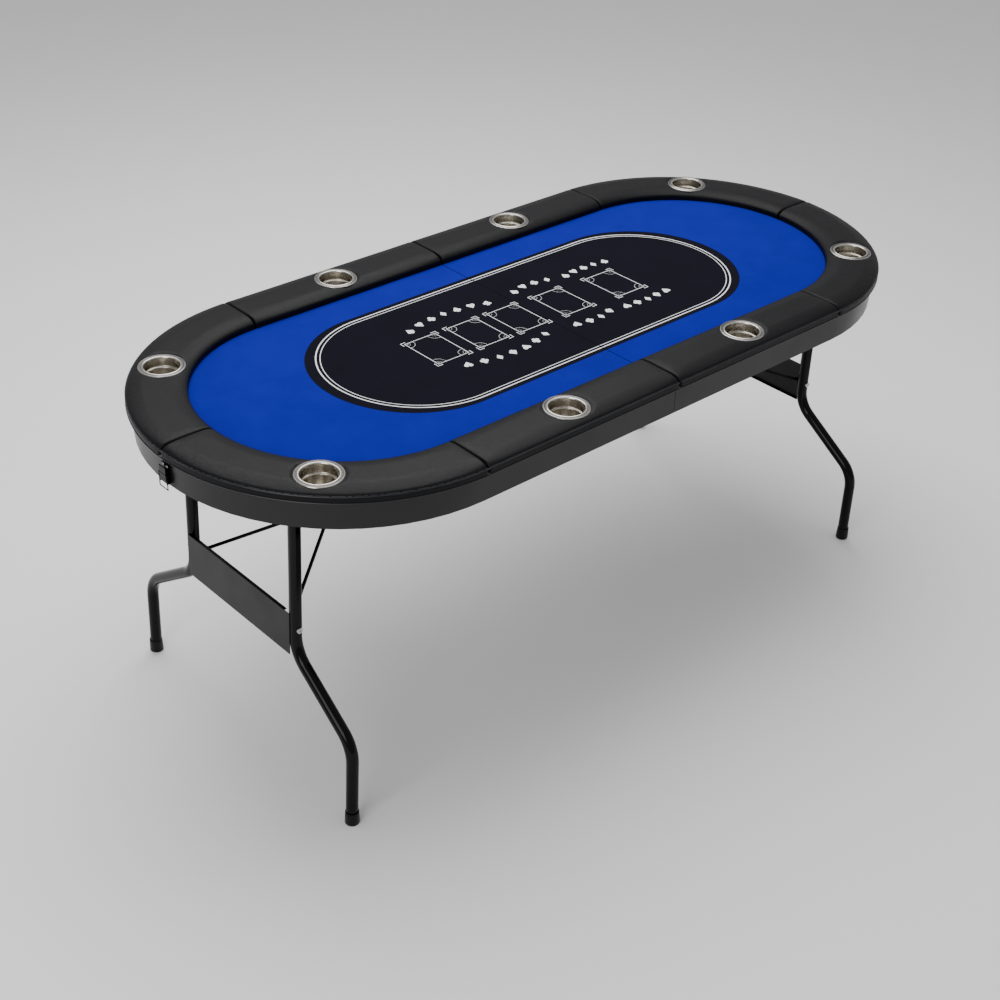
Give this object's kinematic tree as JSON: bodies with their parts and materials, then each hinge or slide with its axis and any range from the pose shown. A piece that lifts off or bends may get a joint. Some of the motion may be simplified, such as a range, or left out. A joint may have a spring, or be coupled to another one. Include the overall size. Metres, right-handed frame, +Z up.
{
  "type": "folding card table",
  "caption": "Oval folding card table with a padded rail, cup holders, a blue cloth top, two hinged halves, folding leg frames with braces, and a draw latch.",
  "frame": {"origin": "on the floor under the middle of the table, where the fold seam meets the long axis", "axes": "+X along the length towards the half without the latch, +Y across the width, +Z up"},
  "size_m": [1.868, 0.848, 0.76],
  "materials": {
    "leatherette": "black grained leatherette over foam, satin",
    "felt": "blue brushed playing cloth, matt",
    "apron_panel": "satin black laminate",
    "board": "dark stained fibreboard",
    "powder_black": "gloss black powder coat",
    "sheet_black": "satin black powder coat",
    "stainless": "satin stainless steel",
    "zinc": "bright zinc plate",
    "foot_plastic": "moulded black plastic"
  },
  "bodies": {
    "left_half": {"left_board": "board", "left_apron": "apron_panel", "left_middle_rail": "board", "left_felt": "felt", "left_near_side_pad": "leatherette", "left_near_side_cup": "stainless", "left_far_side_pad": "leatherette", "left_far_side_cup": "stainless", "left_near_corner_pad": "leatherette", "left_near_corner_cup": "stainless", "left_far_corner_pad": "leatherette", "left_far_corner_cup": "stainless", "left_near_rail_board": "board", "left_far_rail_board": "board", "left_link_bracket": "powder_black", "left_near_leg_bracket": "powder_black", "left_near_hinge_leaf": "zinc", "left_far_leg_bracket": "powder_black", "left_far_hinge_leaf": "zinc", "latch_base": "powder_black"},
    "right_half": {"right_board": "board", "right_apron": "apron_panel", "right_middle_rail": "board", "right_felt": "felt", "right_near_side_pad": "leatherette", "right_near_side_cup": "stainless", "right_far_side_pad": "leatherette", "right_far_side_cup": "stainless", "right_near_corner_pad": "leatherette", "right_near_corner_cup": "stainless", "right_far_corner_pad": "leatherette", "right_far_corner_cup": "stainless", "right_near_rail_board": "board", "right_far_rail_board": "board", "right_link_bracket": "powder_black", "right_near_leg_bracket": "powder_black", "right_near_hinge_leaf": "zinc", "right_far_leg_bracket": "powder_black", "right_far_hinge_leaf": "zinc", "latch_catch": "powder_black"},
    "left_leg": {"left_near_leg_tube": "powder_black", "left_near_foot_cap": "foot_plastic", "left_near_brace_bolt": "zinc", "left_far_leg_tube": "powder_black", "left_far_foot_cap": "foot_plastic", "left_far_brace_bolt": "zinc", "left_cross_panel": "sheet_black"},
    "right_leg": {"right_near_leg_tube": "powder_black", "right_near_foot_cap": "foot_plastic", "right_near_brace_bolt": "zinc", "right_far_leg_tube": "powder_black", "right_far_foot_cap": "foot_plastic", "right_far_brace_bolt": "zinc", "right_cross_panel": "sheet_black"},
    "left_v_brace": {"left_v_brace": "powder_black"},
    "right_v_brace": {"right_v_brace": "powder_black"},
    "left_knee_link": {"left_knee_link": "powder_black"},
    "right_knee_link": {"right_knee_link": "powder_black"},
    "latch_lever": {"latch_lever": "powder_black"},
    "latch_loop": {"latch_loop": "powder_black"}
  },
  "joints": [
    {"name": "fold_hinge", "type": "hinge", "parent": "left_half", "child": "right_half", "pos_m": [0, 0, 0.6745], "axis": [0, 1, 0], "range_deg": [0, 90]},
    {"name": "left_leg_fold", "type": "hinge", "parent": "left_half", "child": "left_leg", "pos_m": [-0.766, 0, 0.693], "axis": [0, -1, 0], "range_deg": [0, 91.6]},
    {"name": "left_brace_turn", "type": "hinge", "parent": "left_leg", "child": "left_v_brace", "pos_m": [-0.77526, 0, 0.37213], "axis": [0, 1, 0], "range_deg": [0, 116.3]},
    {"name": "left_knee_turn", "type": "hinge", "parent": "left_v_brace", "child": "left_knee_link", "pos_m": [-0.56209, 0, 0.47922], "axis": [0, -1, 0], "range_deg": [0, 140]},
    {"name": "right_leg_fold", "type": "hinge", "parent": "right_half", "child": "right_leg", "pos_m": [0.766, 0, 0.693], "axis": [0, 1, 0], "range_deg": [0, 91.6]},
    {"name": "right_brace_turn", "type": "hinge", "parent": "right_leg", "child": "right_v_brace", "pos_m": [0.77526, 0, 0.37213], "axis": [0, -1, 0], "range_deg": [0, 116.3]},
    {"name": "right_knee_turn", "type": "hinge", "parent": "right_v_brace", "child": "right_knee_link", "pos_m": [0.56209, 0, 0.47922], "axis": [0, 1, 0], "range_deg": [0, 140]},
    {"name": "latch_lever_turn", "type": "hinge", "parent": "left_half", "child": "latch_lever", "pos_m": [-0.9286, 0, 0.6845], "axis": [0, -1, 0], "range_deg": [0, 110]},
    {"name": "latch_loop_turn", "type": "hinge", "parent": "latch_lever", "child": "latch_loop", "pos_m": [-0.931, 0, 0.699], "axis": [0, -1, 0], "range_deg": [-110, 0]}
  ],
  "couplings": [
    {"joint": "left_brace_turn", "follows": "left_leg_fold", "ratio": 1.268},
    {"joint": "left_knee_turn", "follows": "left_leg_fold", "ratio": 1.526},
    {"joint": "right_brace_turn", "follows": "right_leg_fold", "ratio": 1.268},
    {"joint": "right_knee_turn", "follows": "right_leg_fold", "ratio": 1.526},
    {"joint": "latch_loop_turn", "follows": "latch_lever_turn", "ratio": -1}
  ]
}
